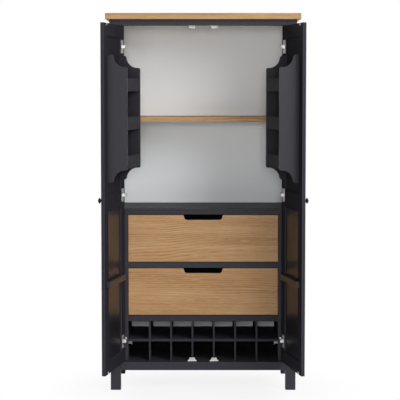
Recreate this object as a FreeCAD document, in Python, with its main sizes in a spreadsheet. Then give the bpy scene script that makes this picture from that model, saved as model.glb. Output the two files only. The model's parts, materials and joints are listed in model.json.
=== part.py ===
import FreeCAD, Part
import math
import os
import re

import Sketcher

# A two-door wine cabinet: oak top, painted frame, oak shelf and drawers, bottle rack, racks on the doors.
# X runs to the right, Y to the back and Z up. The floor is Z zero, and the doors stand open at rest.

# Driving sizes in millimetres
SIZES = [
    ("overall_height", 1800.0),
    ("top_width", 924.0),
    ("top_thickness", 29.0),
    ("top_overhang", 24.0),
    ("top_arris", 2.0),
    ("carcass_width", 888.0),
    ("carcass_depth", 456.0),
    ("leg_width", 48.0),
    ("leg_arris", 2.5),
    ("bottom_clearance", 96.0),
    ("bottom_rail_height", 40.0),
    ("bottom_rail_thickness", 22.0),
    ("top_rail_height", 28.0),
    ("top_rail_thickness", 48.0),
    ("side_panel_thickness", 12.0),
    ("side_rail_height", 70.0),
    ("side_rail_thickness", 30.0),
    ("back_panel_thickness", 8.0),
    ("back_rail_height", 70.0),
    ("back_rail_thickness", 18.0),
    ("floor_thickness", 18.0),
    ("deck_level", 872.0),
    ("deck_thickness", 29.0),
    ("bank_setback", 40.0),
    ("filler_width", 35.0),
    ("filler_thickness", 22.0),
    ("drawer_front_height", 225.0),
    ("drawer_front_thickness", 20.0),
    ("drawer_gap", 2.5),
    ("drawer_side_gap", 2.0),
    ("drawer_rail_height", 27.0),
    ("drawer_rail_thickness", 22.0),
    ("drawer_back_clearance", 30.0),
    ("drawer_side_height", 150.0),
    ("drawer_side_thickness", 12.0),
    ("drawer_side_inset", 2.0),
    ("drawer_bottom_thickness", 6.0),
    ("drawer_bottom_rise", 8.0),
    ("finger_width", 190.0),
    ("finger_depth", 24.0),
    ("finger_radius", 14.0),
    ("finger_flare", 4.0),
    ("runner_height", 45.0),
    ("runner_ledge", 11.0),
    ("runner_ledge_reach", 22.0),
    ("runner_clearance", 2.0),
    ("rack_top_thickness", 29.0),
    ("rack_end_thickness", 12.0),
    ("rack_shelf_thickness", 11.5),
    ("lower_cell_height", 93.0),
    ("rack_divider_thickness", 8.5),
    ("rack_pitch", 103.0),
    ("halving_clearance", 0.2),
    ("shelf_level", 1310.0),
    ("shelf_thickness", 25.0),
    ("shelf_setback", 118.0),
    ("shelf_clearance", 1.5),
    ("peg_radius", 3.5),
    ("peg_reach", 9.0),
    ("peg_bore_depth", 10.0),
    ("peg_inset", 40.0),
    ("peg_clearance", 0.1),
    ("peg_seat_clearance", 0.3),
    ("door_thickness", 18.0),
    ("door_gap", 2.5),
    ("meeting_gap", 2.0),
    ("arris", 6.0),
    ("stile_width", 68.0),
    ("door_rail_height", 60.0),
    ("lock_rail_height", 82.0),
    ("lock_rail_level", 885.0),
    ("door_panel_thickness", 6.0),
    ("knob_level", 938.0),
    ("knob_inset", 31.5),
    ("knob_radius", 14.0),
    ("knob_neck_radius", 6.5),
    ("knob_base_radius", 9.0),
    ("knob_neck_length", 8.0),
    ("knob_shoulder", 13.0),
    ("knob_projection", 21.0),
    ("hinge_low_inset", 104.0),
    ("hinge_high_inset", 99.0),
    ("hinge_pin_radius", 2.0),
    ("hinge_pin_clearance", 0.05),
    ("hinge_eye_radius", 4.0),
    ("hinge_eye_height", 8.0),
    ("hinge_ear_height", 3.0),
    ("hinge_play", 0.3),
    ("hinge_neck_width", 4.6),
    ("hinge_base_setback", 22.0),
    ("hinge_base_depth", 16.0),
    ("hinge_base_thickness", 11.5),
    ("hinge_base_height", 40.0),
    ("hinge_cup_inset", 35.0),
    ("hinge_cup_radius", 17.5),
    ("hinge_cup_depth", 11.0),
    ("hinge_flange_height", 62.0),
    ("hinge_flange_width", 40.0),
    ("hinge_flange_thickness", 2.0),
    ("hinge_link_length", 28.0),
    ("hinge_link_inset", 8.0),
    ("hinge_link_reach", 10.0),
    ("hinge_link_height", 14.0),
    ("notch_clearance", 0.4),
    ("catch_offset", 53.0),
    ("catch_foot_width", 46.0),
    ("catch_face_width", 26.0),
    ("catch_height", 18.0),
    ("catch_drop", 13.0),
    ("catch_depth", 18.0),
    ("catch_clearance", 0.5),
    ("strike_width", 22.0),
    ("strike_height", 12.0),
    ("strike_thickness", 1.2),
    ("batten_level", 541.0),
    ("batten_height", 27.5),
    ("batten_reach", 19.0),
    ("batten_start", 56.0),
    ("batten_length", 304.0),
    ("door_rack_inset", 142.0),
    ("door_rack_height", 581.5),
    ("door_rack_width", 277.0),
    ("door_rack_depth", 92.0),
    ("door_rack_side_thickness", 12.0),
    ("door_rack_shoulder", 14.5),
    ("door_rack_convex", 12.0),
    ("door_rack_concave", 53.0),
    ("door_rack_drop", 57.0),
    ("door_rack_corner", 8.0),
    ("door_rack_first_tier", 64.0),
    ("door_rack_tier_pitch", 175.7),
    ("door_rack_shelf_thickness", 10.0),
    ("door_rack_rail_height", 59.0),
    ("door_rack_rail_thickness", 9.0),
    ("overrun", 1.0),
]
# How far the doors stand open at rest, in degrees
ANGLES = [("open_angle", 100.3)]
# Bottle cells across the rack, and tiers on a door rack
BOTTLE_COLUMNS = 7
DOOR_TIERS = 3

# Places and lengths that follow from the driving sizes
PLACES = {
    "leg_height": "overall_height - top_thickness",
    "half_width": "carcass_width / 2",
    "half_opening": "carcass_width / 2 - leg_width",
    "floor_level": "bottom_clearance + bottom_rail_height",
    "head_level": "leg_height - top_rail_height",
    "door_width": "half_opening - door_gap - meeting_gap / 2",
    "door_height": "head_level - floor_level - 2 * door_gap",
    "door_bottom": "floor_level + door_gap",
    "door_top": "door_bottom + door_height",
    "door_inside": "door_thickness - arris",
    "door_edge": "door_width - arris",
    "door_turn_x": "half_opening - door_gap - arris",
    "door_reach": "door_edge * sin(open_angle * 1deg) - arris - door_inside * cos(open_angle * 1deg)",
    "front": "(door_reach - carcass_depth) / 2",
    "back": "front + carcass_depth",
    "back_face": "back - back_rail_thickness - back_panel_thickness",
    "leg_gap": "carcass_depth - 2 * leg_width",
    "bank": "front + bank_setback",
    "bank_depth": "back_face - bank",
    "behind_filler": "bank + filler_thickness",
    "half_bank": "half_opening - filler_width",
    "deck_bottom": "deck_level - deck_thickness",
    "drawer_width": "2 * (half_bank - drawer_side_gap)",
    "drawer_box_depth": "bank_depth - drawer_front_thickness - drawer_back_clearance",
    "drawer_side_face": "drawer_width / 2 - drawer_side_inset",
    "upper_drawer_bottom": "deck_bottom - drawer_gap - drawer_front_height",
    "drawer_rail_bottom": "upper_drawer_bottom - drawer_gap - drawer_rail_height",
    "lower_drawer_bottom": "drawer_rail_bottom - drawer_gap - drawer_front_height",
    "rack_top_level": "lower_drawer_bottom - drawer_gap",
    "rack_head": "rack_top_level - rack_top_thickness",
    "rack_shelf_level": "floor_level + lower_cell_height",
    "half_rack_depth": "bank_depth / 2",
    "shelf_bottom": "shelf_level - shelf_thickness",
    "shelf_front": "front + shelf_setback",
    "peg_level": "shelf_bottom - peg_radius - peg_seat_clearance",
    "knob_rise": "knob_projection - knob_shoulder",
    "knob_dome_radius": "(knob_radius * knob_radius + knob_rise * knob_rise) / (2 * knob_rise)",
    "rail_start": "stile_width - arris",
    "rail_length": "door_width - 2 * stile_width",
    "rack_middle": "door_width / 2 - arris",
    "door_rack_sweep": "door_rack_convex + door_rack_concave",
    "door_rack_run": "sqrt(door_rack_drop * (2 * door_rack_sweep - door_rack_drop))",
    "door_rack_curve": "door_rack_shoulder + door_rack_run",
    "door_rack_turn": "door_rack_shoulder + door_rack_run * door_rack_convex / door_rack_sweep",
    "door_rack_turn_drop": "door_rack_drop * door_rack_convex / door_rack_sweep",
    "door_rack_level": "door_top - door_rack_inset - door_rack_height",
    "hinge_low_level": "door_bottom + hinge_low_inset",
    "hinge_high_level": "door_top - hinge_high_inset",
    "eye_step": "hinge_eye_height / 2 + hinge_play",
    "strap_length": "hinge_cup_inset - hinge_cup_radius / 2",
}
CELLS = {name for name, number in SIZES + ANGLES}
WORD = re.compile(r"[a-z][a-z0-9_]*")

doc = FreeCAD.newDocument("wine_cabinet")
sheet = doc.addObject("Spreadsheet::Sheet", "Sizes")
for row, (alias, number) in enumerate(SIZES + ANGLES, start=1):
    sheet.set(f"A{row}", alias)
    sheet.set(f"B{row}", str(number))
    sheet.setAlias(f"B{row}", alias)
doc.recompute()

UP = FreeCAD.Vector(0, 0, 1)
RIGHT = FreeCAD.Vector(1, 0, 0)
QUARTER_TURN = 90
pieces = []


def full(text):
    """The expression with each size named by its cell and each place by the sum that it stands for."""
    def named(match):
        word = match.group()
        if word in PLACES:
            return "(" + full(PLACES[word]) + ")"
        return "Sizes." + word if word in CELLS else word
    return WORD.sub(named, text)


def measure(text):
    """The number that an expression comes to."""
    return float(sheet.evalExpression(full(text)))


def put(thing, corner):
    """Bind a thing's place to three expressions."""
    for axis, text in zip("xyz", corner):
        thing.setExpression("Placement.Base." + axis, full(text))
    return thing


def box(name, size, corner):
    """A squared board or block, with its three sizes and its low corner."""
    board = doc.addObject("Part::Box", name)
    for side, text in zip(("Length", "Width", "Height"), size):
        board.setExpression(side, full(text))
    return put(board, corner)


def rod(name, radius, length, start, turn=None):
    """A round rod that runs up from its start, or along the way that turn swings it."""
    round_bar = doc.addObject("Part::Cylinder", name)
    round_bar.setExpression("Radius", full(radius))
    round_bar.setExpression("Height", full(length))
    if turn is not None:
        round_bar.Placement = FreeCAD.Placement(FreeCAD.Vector(), turn)
    return put(round_bar, start)


def fused(name, members):
    """Members joined into one solid."""
    whole = doc.addObject("Part::MultiFuse", name)
    whole.Shapes = members
    whole.Refine = True
    return whole


def cut(name, base, tools):
    """A base with tools taken out of it."""
    whole = doc.addObject("Part::Cut", name)
    whole.Base = base
    whole.Tool = tools[0] if len(tools) == 1 else fused(name + "_tools", tools)
    return whole


def group(name, members):
    """Separate solids that share one name."""
    together = doc.addObject("Part::Compound", name)
    together.Links = members
    return together


def piece(thing):
    """Keep a finished sub-part for the checks and the files."""
    pieces.append(thing)
    return thing


def origin_plane(body, role):
    """One of a body's own three origin planes."""
    return next(plane for plane in body.Origin.OriginFeatures if plane.Role == role)


def outline(body, plane, corners):
    """A closed sketch. A corner is the start of a straight side, or with a radius and a turn, of an arc."""
    sketch = body.newObject("Sketcher::SketchObject", body.Name + "_outline")
    sketch.AttachmentSupport = [(origin_plane(body, plane), "")]
    sketch.MapMode = "FlatFace"
    spots = [FreeCAD.Vector(measure(corner[0]), measure(corner[1]), 0) for corner in corners]
    starts = []
    ends = []
    for number, corner in enumerate(corners):
        here = spots[number]
        there = spots[(number + 1) % len(spots)]
        if len(corner) == 2:
            edge = sketch.addGeometry(Part.LineSegment(here, there), False)
            starts.append((edge, 1))
            ends.append((edge, 2))
            continue
        radius = measure(corner[2])
        turn = corner[3]
        chord = there - here
        rise = math.sqrt(max(radius ** 2 - (chord.Length / 2) ** 2, 0))
        left = FreeCAD.Vector(-chord.y, chord.x, 0).normalize()
        centre = (here + there) / 2 + left * (rise * turn)
        first, last = (here, there) if turn > 0 else (there, here)
        angles = [math.atan2(spot.y - centre.y, spot.x - centre.x) for spot in (first, last)]
        circle = Part.Circle(centre, UP, radius)
        edge = sketch.addGeometry(Part.ArcOfCircle(circle, angles[0], angles[1]), False)
        starts.append((edge, 1 if turn > 0 else 2))
        ends.append((edge, 2 if turn > 0 else 1))
    for number, corner in enumerate(corners):
        sketch.addConstraint(Sketcher.Constraint("Coincident", *ends[number - 1], *starts[number]))
        for way, axis, text in (("DistanceX", -2, corner[0]), ("DistanceY", -1, corner[1])):
            if text == "0":
                sketch.addConstraint(Sketcher.Constraint("PointOnObject", *starts[number], axis))
                continue
            held = Sketcher.Constraint(way, -1, 1, *starts[number], measure(text))
            sketch.setExpression(f"Constraints[{sketch.addConstraint(held)}]", full(text))
        if len(corner) > 2:
            held = Sketcher.Constraint("Radius", starts[number][0], measure(corner[2]))
            sketch.setExpression(f"Constraints[{sketch.addConstraint(held)}]", full(corner[2]))
    return sketch


def padded(name, plane, corners, depth, corner, reverse=False):
    """A body made by giving an outline a depth."""
    body = doc.addObject("PartDesign::Body", name)
    sketch = outline(body, plane, corners)
    pad = body.newObject("PartDesign::Pad", name + "_pad")
    pad.Profile = sketch
    pad.setExpression("Length", full(depth))
    pad.Reversed = reverse
    put(body, corner)
    doc.recompute()
    return body


def rectangle(width, height):
    """The outline of a squared section."""
    return [("0", "0"), (width, "0"), (width, height), ("0", height)]


def eased(body, radius, chosen):
    """Round the edges of a body that the test chooses."""
    pad = body.Tip
    names = [f"Edge{number}" for number, edge in enumerate(pad.Shape.Edges, start=1) if chosen(edge)]
    fillet = body.newObject("PartDesign::Fillet", body.Name + "_arris")
    fillet.Base = (pad, names)
    fillet.setExpression("Radius", full(radius))
    doc.recompute()
    return body


def upright(edge):
    """Whether an edge of a body runs straight up."""
    return abs(edge.tangentAt(edge.FirstParameter).z) > math.cos(math.radians(1))


# Oak top, one solid board with eased edges, flush at the back and proud at the front and sides
top_depth = "carcass_depth + top_overhang"
top_corner = ("-top_width / 2", "front - top_overhang", "leg_height")
top_board = padded("top_board", "XY_Plane", rectangle("top_width", top_depth), "top_thickness", top_corner)
piece(eased(top_board, "top_arris", lambda edge: True))

# Four square legs that run the whole height and carry the rails between them
for end, leg_y in (("front", "front"), ("rear", "back - leg_width")):
    for side, leg_x in (("left", "-half_width"), ("right", "half_opening")):
        square = rectangle("leg_width", "leg_width")
        leg = padded(f"{end}_{side}_leg", "XY_Plane", square, "leg_height", (leg_x, leg_y, "0"))
        piece(eased(leg, "leg_arris", upright))

# Front rails above and below the doors
rail_width = "2 * half_opening"
rail_size = (rail_width, "top_rail_thickness", "top_rail_height")
piece(box("top_rail", rail_size, ("-half_opening", "front", "head_level")))
rail_size = (rail_width, "bottom_rail_thickness", "bottom_rail_height")
piece(box("bottom_rail", rail_size, ("-half_opening", "front", "bottom_clearance")))

# Sides: a panel flush with the inside of the legs, bored for the shelf pegs, and two outer rails
side_height = "leg_height - bottom_clearance"
peg_places = [("front", "shelf_front + peg_inset"), ("rear", "back_face - shelf_clearance - peg_inset")]
outward = {"left": FreeCAD.Rotation(FreeCAD.Vector(0, 1, 0), -QUARTER_TURN),
           "right": FreeCAD.Rotation(FreeCAD.Vector(0, 1, 0), QUARTER_TURN)}
pegs = []
for side, panel_x, rail_x, sign in (
    ("left", "-half_opening - side_panel_thickness",
     "-half_opening - side_panel_thickness - side_rail_thickness", "-"),
    ("right", "half_opening", "half_opening + side_panel_thickness", ""),
):
    panel_size = ("side_panel_thickness", "leg_gap", side_height)
    panel = box(f"{side}_side_board", panel_size, (panel_x, "front + leg_width", "bottom_clearance"))
    bores = []
    for end, peg_y in peg_places:
        start = (f"{sign}(half_opening - overrun)", peg_y, "peg_level")
        bore_length = "peg_bore_depth + overrun"
        bore_radius = "peg_radius + peg_clearance"
        bores.append(rod(f"{side}_{end}_peg_bore", bore_radius, bore_length, start, outward[side]))
        start = (f"{sign}(half_opening - peg_reach)", peg_y, "peg_level")
        peg_length = "peg_reach + peg_bore_depth"
        pegs.append(rod(f"{side}_{end}_peg", "peg_radius", peg_length, start, outward[side]))
    piece(cut(f"{side}_side_panel", panel, bores))
    rails = []
    for end, level in (("top", "leg_height - side_rail_height"), ("bottom", "bottom_clearance")):
        rail_size = ("side_rail_thickness", "leg_gap", "side_rail_height")
        rails.append(box(f"{side}_{end}_side_rail", rail_size, (rail_x, "front + leg_width", level)))
    piece(group(f"{side}_side_rails", rails))
piece(group("shelf_pegs", pegs))

# Back: a thin panel between the rear legs, held by two rails behind it
panel_size = (rail_width, "back_panel_thickness", side_height)
piece(box("back_panel", panel_size, ("-half_opening", "back_face", "bottom_clearance")))
rails = []
for end, level in (("top", "leg_height - back_rail_height"), ("bottom", "bottom_clearance")):
    rail_size = (rail_width, "back_rail_thickness", "back_rail_height")
    rails.append(box(f"{end}_back_rail", rail_size, ("-half_opening", "back - back_rail_thickness", level)))
piece(group("back_rails", rails))

# Floor board behind the bottom rail and level with its top
floor_start = "front + bottom_rail_thickness"
board_size = (rail_width, f"back_face - ({floor_start})", "floor_thickness")
piece(box("floor_board", board_size, ("-half_opening", floor_start, "floor_level - floor_thickness")))

# Deck between the upper cupboard and the drawers
board_size = (rail_width, "bank_depth", "deck_thickness")
piece(box("deck_board", board_size, ("-half_opening", "bank", "deck_bottom")))

# Filler stiles that bring the drawers in far enough to pass the open doors
for side, filler_x in (("left", "-half_opening"), ("right", "half_bank")):
    filler_size = ("filler_width", "filler_thickness", "deck_bottom - floor_level")
    piece(box(f"{side}_filler_stile", filler_size, (filler_x, "bank", "floor_level")))

# Rail between the two drawers
bank_width = "2 * half_bank"
rail_size = (bank_width, "drawer_rail_thickness", "drawer_rail_height")
piece(box("drawer_rail", rail_size, ("-half_bank", "bank", "drawer_rail_bottom")))

# Runners along the sides: a ledge under each drawer side and a guide beside it
runners = []
runner_length = "back_face - behind_filler"
guide_inner = "drawer_side_face + runner_clearance"
guide_width = f"half_opening - ({guide_inner})"
ledge_inner = f"{guide_inner} - runner_ledge_reach"
ledge_width = f"{guide_width} + runner_ledge_reach"
for tier, level, ledge_height in (
    ("upper", "drawer_rail_bottom", "drawer_rail_height + runner_ledge"),
    ("lower", "rack_top_level", "runner_ledge"),
):
    for side, guide_x, ledge_x in (("left", "-half_opening", "-half_opening"),
                                   ("right", guide_inner, ledge_inner)):
        guide_size = (guide_width, runner_length, f"{ledge_height} + runner_height")
        guide = box(f"{tier}_{side}_runner_guide", guide_size, (guide_x, "behind_filler", level))
        ledge_size = (ledge_width, runner_length, ledge_height)
        ledge = box(f"{tier}_{side}_runner_ledge", ledge_size, (ledge_x, "behind_filler", level))
        runners.append(fused(f"{tier}_{side}_runner", [guide, ledge]))
piece(group("drawer_runners", runners))

# Bottle rack: a head board, two ends, and a shelf and dividers that are halved into each other
board_size = (bank_width, "bank_depth", "rack_top_thickness")
piece(box("rack_top_board", board_size, ("-half_bank", "bank", "rack_head")))
rack_ends = []
for side, end_x in (("left", "-half_bank - rack_end_thickness"), ("right", "half_bank")):
    end_size = ("rack_end_thickness", runner_length, "rack_top_level - floor_level")
    rack_ends.append(box(f"{side}_rack_end", end_size, (end_x, "behind_filler", "floor_level")))
piece(group("rack_ends", rack_ends))
dividers = []
shelf_slots = []
for number in range(1, BOTTLE_COLUMNS):
    steps = number - BOTTLE_COLUMNS / 2
    divider_x = f"{steps} * rack_pitch - rack_divider_thickness / 2"
    divider_size = ("rack_divider_thickness", "bank_depth", "rack_head - floor_level")
    blank = box(f"rack_divider_blank_{number}", divider_size, (divider_x, "bank", "floor_level"))
    slot_size = ("rack_divider_thickness + 2 * overrun", "half_rack_depth + overrun",
                 "rack_shelf_thickness + 2 * halving_clearance")
    slot_corner = (f"{divider_x} - overrun", "bank - overrun", "rack_shelf_level - halving_clearance")
    slot = box(f"rack_divider_slot_{number}", slot_size, slot_corner)
    dividers.append(cut(f"rack_divider_{number}", blank, [slot]))
    slot_size = ("rack_divider_thickness + 2 * halving_clearance", "half_rack_depth + overrun",
                 "rack_shelf_thickness + 2 * overrun")
    slot_corner = (f"{divider_x} - halving_clearance", "bank + half_rack_depth",
                   "rack_shelf_level - overrun")
    shelf_slots.append(box(f"rack_shelf_slot_{number}", slot_size, slot_corner))
board_size = (bank_width, "bank_depth", "rack_shelf_thickness")
blank = box("rack_shelf_blank", board_size, ("-half_bank", "bank", "rack_shelf_level"))
piece(cut("rack_shelf", blank, shelf_slots))
piece(group("rack_dividers", dividers))

# Loose oak shelf that lies on the pegs
board_size = ("2 * (half_opening - shelf_clearance)", "back_face - shelf_clearance - shelf_front",
              "shelf_thickness")
piece(box("shelf", board_size, ("-half_opening + shelf_clearance", "shelf_front", "shelf_bottom")))

# Magnetic catches: two under the top rail and two on the floor, each with a wide foot
catch_face = "front + door_thickness + strike_thickness + catch_clearance"
catch_flank = "(catch_foot_width - catch_face_width) / 2"
floor_section = [("0", "0"), ("catch_foot_width", "0"),
                 (f"catch_foot_width - {catch_flank}", "catch_height"), (catch_flank, "catch_height")]
head_section = [(catch_flank, "0"), (f"catch_foot_width - {catch_flank}", "0"),
                ("catch_foot_width", "catch_drop"), ("0", "catch_drop")]
catches = []
for end, section, level in (("top", head_section, "head_level - catch_drop"),
                            ("bottom", floor_section, "floor_level")):
    for side, sign in (("left", "-"), ("right", "")):
        corner = (f"{sign}catch_offset - catch_foot_width / 2", catch_face, level)
        name = f"{end}_{side}_catch"
        catches.append(padded(name, "XZ_Plane", section, "catch_depth", corner, reverse=True))
piece(group("magnetic_catches", catches))

# Hinge arms: a base on the leg, a neck, and an eye that turns on the pin set in the door's edge
hinge_levels = {"low": "hinge_low_level", "middle": "(hinge_low_level + hinge_high_level) / 2",
                "high": "hinge_high_level"}
turn_y = "front + arris"
arms = []
for side, turn_x, base_x in (("left", "-door_turn_x", "-half_opening"),
                             ("right", "door_turn_x", "half_opening - hinge_base_thickness")):
    for place, level in hinge_levels.items():
        name = f"{side}_{place}_hinge"
        eye_bottom = f"{level} - hinge_eye_height / 2"
        eye = rod(f"{name}_eye", "hinge_eye_radius", "hinge_eye_height", (turn_x, turn_y, eye_bottom))
        neck_length = "hinge_base_setback + hinge_base_depth - arris"
        neck_size = ("hinge_neck_width", neck_length, "hinge_eye_height")
        neck = box(f"{name}_neck", neck_size, (f"{turn_x} - hinge_neck_width / 2", turn_y, eye_bottom))
        base_size = ("hinge_base_thickness", "hinge_base_depth", "hinge_base_height")
        base_corner = (base_x, "front + hinge_base_setback", f"{level} - hinge_base_height / 2")
        base = box(f"{name}_base", base_size, base_corner)
        bore_radius = "hinge_pin_radius + hinge_pin_clearance"
        bore_start = (turn_x, turn_y, f"{eye_bottom} - overrun")
        bore = rod(f"{name}_bore", bore_radius, "hinge_eye_height + 2 * overrun", bore_start)
        arms.append(cut(f"{name}_arm", fused(f"{name}_arm_blank", [eye, neck, base]), [bore]))
piece(group("hinge_arms", arms))

# Drawers: an oak front with a finger cut-out, two sides, a back and a bottom
for tier, level in (("upper", "upper_drawer_bottom"), ("lower", "lower_drawer_bottom")):
    middle = "drawer_width / 2"
    low_side = "drawer_front_height - finger_depth + finger_radius"
    low_edge = "drawer_front_height - finger_depth"
    half_low = "finger_width / 2 - finger_flare"
    front_outline = [
        ("0", "0"), ("drawer_width", "0"), ("drawer_width", "drawer_front_height"),
        (f"{middle} + finger_width / 2", "drawer_front_height"),
        (f"{middle} + {half_low}", low_side, "finger_radius", -1),
        (f"{middle} + {half_low} - finger_radius", low_edge),
        (f"{middle} - ({half_low}) + finger_radius", low_edge, "finger_radius", -1),
        (f"{middle} - ({half_low})", low_side),
        (f"{middle} - finger_width / 2", "drawer_front_height"), ("0", "drawer_front_height"),
    ]
    front_corner = ("-drawer_width / 2", "bank", level)
    piece(padded(f"{tier}_drawer_front", "XZ_Plane", front_outline, "drawer_front_thickness",
                 front_corner, reverse=True))
    box_start = "bank + drawer_front_thickness"
    box_bottom = f"{level} - drawer_gap + runner_ledge"
    inner_width = "2 * (drawer_side_face - drawer_side_thickness)"
    inner_x = "drawer_side_thickness - drawer_side_face"
    sides = []
    for side, side_x in (("left", "-drawer_side_face"),
                         ("right", "drawer_side_face - drawer_side_thickness")):
        side_size = ("drawer_side_thickness", "drawer_box_depth", "drawer_side_height")
        sides.append(box(f"{tier}_drawer_{side}_side", side_size, (side_x, box_start, box_bottom)))
    piece(group(f"{tier}_drawer_sides", sides))
    back_y = f"{box_start} + drawer_box_depth - drawer_side_thickness"
    back_size = (inner_width, "drawer_side_thickness", "drawer_side_height")
    piece(box(f"{tier}_drawer_back", back_size, (inner_x, back_y, box_bottom)))
    bottom_size = (inner_width, "drawer_box_depth - drawer_side_thickness", "drawer_bottom_thickness")
    bottom_corner = (inner_x, box_start, f"{box_bottom} + drawer_bottom_rise")
    piece(box(f"{tier}_drawer_bottom", bottom_size, bottom_corner))


def door(side, sign):
    """One door. Its pieces are made as if shut, with the hinge line as origin, and then swung open."""
    leftward = sign < 0

    def along(start, length):
        """The low X of something that starts so far from the hinge line."""
        return f"-({start}) - ({length})" if leftward else start

    def at(distance):
        """The X of a point so far from the hinge line."""
        return f"-({distance})" if leftward else distance

    def hung(name, members):
        """Members of one name, swung about the hinge line to where the door stands."""
        whole = group(f"{side}_door_{name}", members)
        whole.Placement = FreeCAD.Placement(FreeCAD.Vector(), FreeCAD.Rotation(UP, QUARTER_TURN))
        put(whole, ("door_turn_x" if leftward else "-door_turn_x", turn_y, "0"))
        whole.setExpression("Placement.Rotation.Angle", full("open_angle" if leftward else "-open_angle"))
        return piece(whole)

    def board(name, start, length, y, thickness, z, height):
        """A squared member of the door."""
        return box(f"{side}_door_{name}", (length, thickness, height), (along(start, length), y, z))

    def stile(name, start, round_start):
        """An upright with a rounded outer arris at its hinge or meeting edge."""
        section = rectangle("stile_width", "door_thickness")
        corner = (along(start, "stile_width"), "-arris", "door_bottom")
        body = padded(f"{side}_door_{name}", "XY_Plane", section, "door_height", corner)
        low_x = round_start != leftward
        middle = measure("stile_width") / 2

        def outer_arris(edge):
            spot = edge.Vertexes[0].Point
            return upright(edge) and spot.y < measure("arris") and (spot.x < middle) == low_x

        return eased(body, "arris", outer_arris)

    # Frame: two stiles, three rails and two panels. The hinge stile is bored and notched for its hinges.
    hinge_stile = stile("hinge_stile_blank", "-arris", True)
    tools = []
    inward = FreeCAD.Rotation(RIGHT, -QUARTER_TURN)
    for place, level in hinge_levels.items():
        cup_start = (at("hinge_cup_inset"), "door_inside - hinge_cup_depth", level)
        cup_length = "hinge_cup_depth + overrun"
        tools.append(rod(f"{side}_{place}_cup_bore", "hinge_cup_radius", cup_length, cup_start, inward))
        notch_length = "arris + overrun + strap_length"
        notch_floor = "hinge_eye_radius + notch_clearance"
        notch_height = "2 * (eye_step + hinge_ear_height + notch_clearance)"
        notch_corner = (along("-arris - overrun", notch_length), f"-({notch_floor})",
                        f"{level} - ({notch_height}) / 2")
        notch_size = (notch_length, f"door_inside + {notch_floor} + overrun", notch_height)
        tools.append(box(f"{side}_{place}_notch", notch_size, notch_corner))
    hung("hinge_stile", [cut(f"{side}_door_hinge_upright", hinge_stile, tools)])
    hung("meeting_stile", [stile("meeting_upright", "door_edge - stile_width", False)])
    rails = []
    lock_top = "lock_rail_level + lock_rail_height"
    for name, level, height in (
        ("bottom_rail", "door_bottom", "door_rail_height"),
        ("lock_rail", "lock_rail_level", "lock_rail_height"),
        ("top_rail", "door_top - door_rail_height", "door_rail_height"),
    ):
        rails.append(board(name, "rail_start", "rail_length", "-arris", "door_thickness", level, height))
    hung("rails", rails)
    panel_y = "(door_thickness - door_panel_thickness) / 2 - arris"
    for name, low, high in (
        ("upper", lock_top, "door_top - door_rail_height"),
        ("lower", "door_bottom + door_rail_height", "lock_rail_level"),
    ):
        height = f"{high} - ({low})"
        panel = board(f"{name}_board", "rail_start", "rail_length", panel_y, "door_panel_thickness",
                      low, height)
        hung(f"{name}_panel", [panel])

    # Turned knob on the meeting stile
    knob = doc.addObject("PartDesign::Body", f"{side}_door_turned_knob")
    profile = outline(knob, "XZ_Plane", [
        ("0", "0"), ("knob_base_radius", "0"), ("knob_neck_radius", "knob_neck_length"),
        ("knob_radius", "knob_shoulder", "knob_dome_radius", 1), ("0", "knob_projection"),
    ])
    turned = knob.newObject("PartDesign::Revolution", f"{side}_door_knob_turning")
    turned.Profile = profile
    turned.ReferenceAxis = (profile, ["V_Axis"])
    knob.Placement = FreeCAD.Placement(FreeCAD.Vector(), FreeCAD.Rotation(RIGHT, QUARTER_TURN))
    put(knob, (at("door_edge - knob_inset"), "-arris", "knob_level"))
    hung("knob", [knob])

    # Hinge cups: a cup let into the stile, its flange and link, two ears and the pin between them
    cups = []
    for place, level in hinge_levels.items():
        name = f"{side}_{place}_cup"
        cup_start = (at("hinge_cup_inset"), "door_inside - hinge_cup_depth + hinge_play", level)
        cup_length = "hinge_cup_depth - hinge_play"
        cup = rod(name, "hinge_cup_radius - hinge_play", cup_length, cup_start, inward)
        flange = board(f"{place}_flange", "hinge_cup_inset - hinge_flange_width / 2", "hinge_flange_width",
                       "door_inside", "hinge_flange_thickness", f"{level} - hinge_flange_height / 2",
                       "hinge_flange_height")
        link = board(f"{place}_link", "hinge_link_inset", "hinge_link_length", "door_inside",
                     "hinge_link_reach", f"{level} - hinge_link_height / 2", "hinge_link_height")
        members = [cup, flange, link]
        for ear, ear_bottom in (("upper", f"{level} + eye_step"),
                                ("lower", f"{level} - (eye_step) - hinge_ear_height")):
            eye_start = ("0", "0", ear_bottom)
            members.append(rod(f"{name}_{ear}_ear", "hinge_eye_radius", "hinge_ear_height", eye_start))
            members.append(board(f"{place}_{ear}_strap", "0", "strap_length",
                                 "0", "hinge_eye_radius", ear_bottom, "hinge_ear_height"))
        pin_length = "2 * (eye_step + hinge_ear_height)"
        pin_start = ("0", "0", f"{level} - ({pin_length}) / 2")
        members.append(rod(f"{name}_pin", "hinge_pin_radius", pin_length, pin_start))
        cups.append(fused(f"{name}_whole", members))
    hung("hinge_cups", cups)

    # Strike plates that meet the magnetic catches
    strikes = []
    strike_start = "door_turn_x - catch_offset - strike_width / 2"
    for name, level in (("bottom", "door_bottom"), ("top", "door_top - strike_height")):
        strikes.append(board(f"{name}_strike", strike_start, "strike_width", "door_inside",
                             "strike_thickness", level, "strike_height"))
    hung("strike_plates", strikes)

    # Batten across the inside of the lower half, from stile to stile
    batten = board("batten_bar", "batten_start", "batten_length", "door_inside", "batten_reach",
                   "batten_level", "batten_height")
    hung("batten", [batten])

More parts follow.
